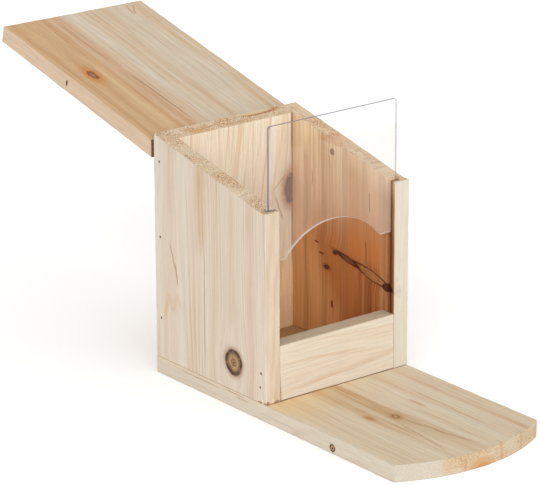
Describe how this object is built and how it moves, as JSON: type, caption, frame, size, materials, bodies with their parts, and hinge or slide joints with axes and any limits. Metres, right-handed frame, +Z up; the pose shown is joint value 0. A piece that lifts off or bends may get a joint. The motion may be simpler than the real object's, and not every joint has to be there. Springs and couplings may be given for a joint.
{
  "type": "wooden box feeder",
  "caption": "Plain wooden box feeder for birds or squirrels: long base board with a curved front, hinged lid laid back, clear arched sliding window.",
  "frame": {"origin": "on the underside of the base, half way across it and in line with the front edges of the side panels", "axes": "+X to the right seen from the front, +Y to the back, +Z up"},
  "size_m": [0.122, 0.4483, 0.2074],
  "materials": {
    "box_wood": "bare sawn softwood",
    "lid_wood": "bare sawn softwood",
    "clear_sheet": "clear acrylic",
    "hinge_steel": "zinc plated",
    "nail_steel": "dull"
  },
  "bodies": {
    "box": {"back_panel": "box_wood", "base_back_nails": "nail_steel", "base_board": "box_wood", "base_rail_nails": "nail_steel", "base_side_nails": "nail_steel", "front_rail": "box_wood", "hinge_body_screws": "hinge_steel", "left_back_nails": "nail_steel", "left_hinge_body_leaf": "hinge_steel", "left_hinge_pin": "hinge_steel", "left_rail_nails": "nail_steel", "left_side_panel": "box_wood", "right_back_nails": "nail_steel", "right_hinge_body_leaf": "hinge_steel", "right_hinge_pin": "hinge_steel", "right_rail_nails": "nail_steel", "right_side_panel": "box_wood"},
    "lid": {"hinge_lid_screws": "hinge_steel", "left_hinge_lid_leaf": "hinge_steel", "lid_board": "lid_wood", "right_hinge_lid_leaf": "hinge_steel"},
    "window": {"window_panel": "clear_sheet"}
  },
  "joints": [
    {"name": "lid_hinge", "type": "hinge", "parent": "box", "child": "lid", "pos_m": [0, 0.12285, 0.16777], "axis": [1, 0, 0], "range_deg": [0, 178.7]},
    {"name": "window_slide", "type": "slide", "parent": "box", "child": "window", "axis": [0, 0, 1], "range_m": [-0.0567, 0]}
  ],
  "couplings": [
    {"joint": "window_slide", "follows": "lid_hinge", "m_per_rad": -0.018179}
  ]
}
